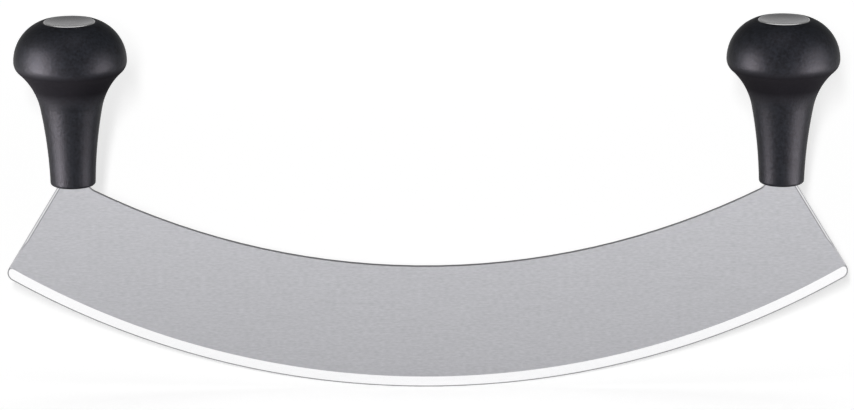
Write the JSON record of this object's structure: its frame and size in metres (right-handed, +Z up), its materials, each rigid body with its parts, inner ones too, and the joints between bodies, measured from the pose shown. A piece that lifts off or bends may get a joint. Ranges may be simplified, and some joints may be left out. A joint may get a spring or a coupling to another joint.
{
  "type": "mezzaluna",
  "caption": "Two-handled rocking herb knife: a curved steel blade with upright black plastic knob handles fixed to its ends.",
  "frame": {"origin": "lowest point of the cutting edge, in the middle of the blade and of its thickness", "axes": "+X along the blade from the left handle to the right, +Y through the blade's thickness away from the picture's viewer, +Z up from the cutting edge to the handles"},
  "size_m": [0.28, 0.0374, 0.1257],
  "materials": {
    "blade_steel": "satin brushed faces with a polished bevel",
    "handle_plastic": "fine matte moulded texture",
    "cap_steel": "polished with a fine turned grain",
    "fixing_steel": "plain bright"
  },
  "bodies": {
    "root": {"blade": "blade_steel", "left_handle": "handle_plastic", "right_handle": "handle_plastic", "left_stud": "fixing_steel", "right_stud": "fixing_steel", "left_washer": "fixing_steel", "right_washer": "fixing_steel", "left_nut": "fixing_steel", "right_nut": "fixing_steel", "left_cap": "cap_steel", "right_cap": "cap_steel"}
  },
  "joints": []
}
